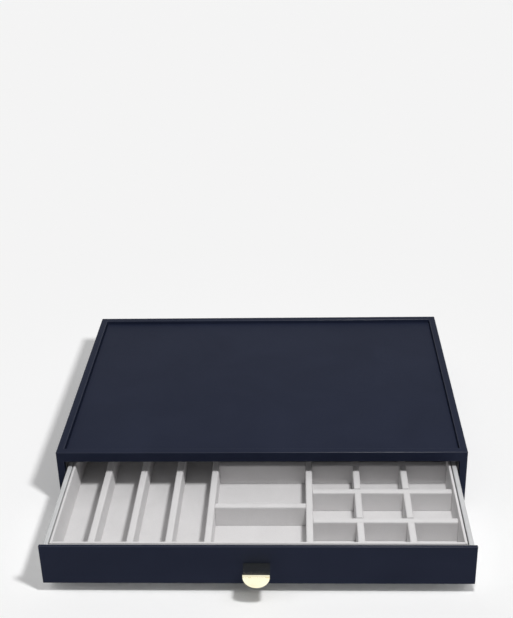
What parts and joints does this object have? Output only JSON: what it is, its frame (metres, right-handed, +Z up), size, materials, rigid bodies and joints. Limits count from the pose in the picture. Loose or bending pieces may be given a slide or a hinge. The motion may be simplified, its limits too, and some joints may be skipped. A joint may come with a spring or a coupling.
{
  "type": "jewellery drawer",
  "caption": "Low wrapped case with a recessed stacking top and one shallow drawer that slides out, holding a suede-lined tray of long bays, wide bays and a grid of cells.",
  "frame": {"origin": "middle of the case's underside, on the face it stands on", "axes": "+Z up, the drawer's front faces -Y and it slides out along -Y, +X to the right seen from the front"},
  "size_m": [0.36, 0.3886, 0.058],
  "materials": {
    "navy_leatherette": "satin",
    "suede_board": "matte",
    "grey_felt": "matte",
    "pull_brass": "polished",
    "plated_steel": "satin"
  },
  "bodies": {
    "case": {"case_left_side": "navy_leatherette", "case_right_side": "navy_leatherette", "case_back": "navy_leatherette", "case_front_rail": "navy_leatherette", "case_bottom": "navy_leatherette", "case_top": "navy_leatherette", "base_plinth": "grey_felt", "glide_strip_left": "grey_felt", "glide_strip_right": "grey_felt", "bumper_left": "grey_felt", "bumper_right": "grey_felt"},
    "drawer": {"drawer_front": "navy_leatherette", "drawer_front_wall": "suede_board", "drawer_left_wall": "suede_board", "drawer_right_wall": "suede_board", "drawer_back_wall": "suede_board", "drawer_bottom": "suede_board", "tray_base": "suede_board", "tray_front_wall": "suede_board", "tray_left_wall": "suede_board", "tray_right_wall": "suede_board", "tray_back_wall": "suede_board", "section_divider_left": "suede_board", "section_divider_right": "suede_board", "long_bay_divider_1": "suede_board", "long_bay_divider_2": "suede_board", "long_bay_divider_3": "suede_board", "wide_bay_cross_1": "suede_board", "wide_bay_cross_2": "suede_board", "wide_bay_cross_3": "suede_board", "grid_divider_1": "suede_board", "grid_divider_2": "suede_board", "grid_cross_1": "suede_board", "grid_cross_2": "suede_board", "grid_cross_3": "suede_board", "grid_cross_4": "suede_board", "grid_cross_5": "suede_board", "pull_tab": "pull_brass", "pull_nut_left": "plated_steel", "pull_nut_right": "plated_steel"}
  },
  "joints": [
    {"name": "drawer_slide", "type": "slide", "parent": "case", "child": "drawer", "axis": [0, -1, 0], "range_m": [-0.1142, 0.0885]}
  ]
}
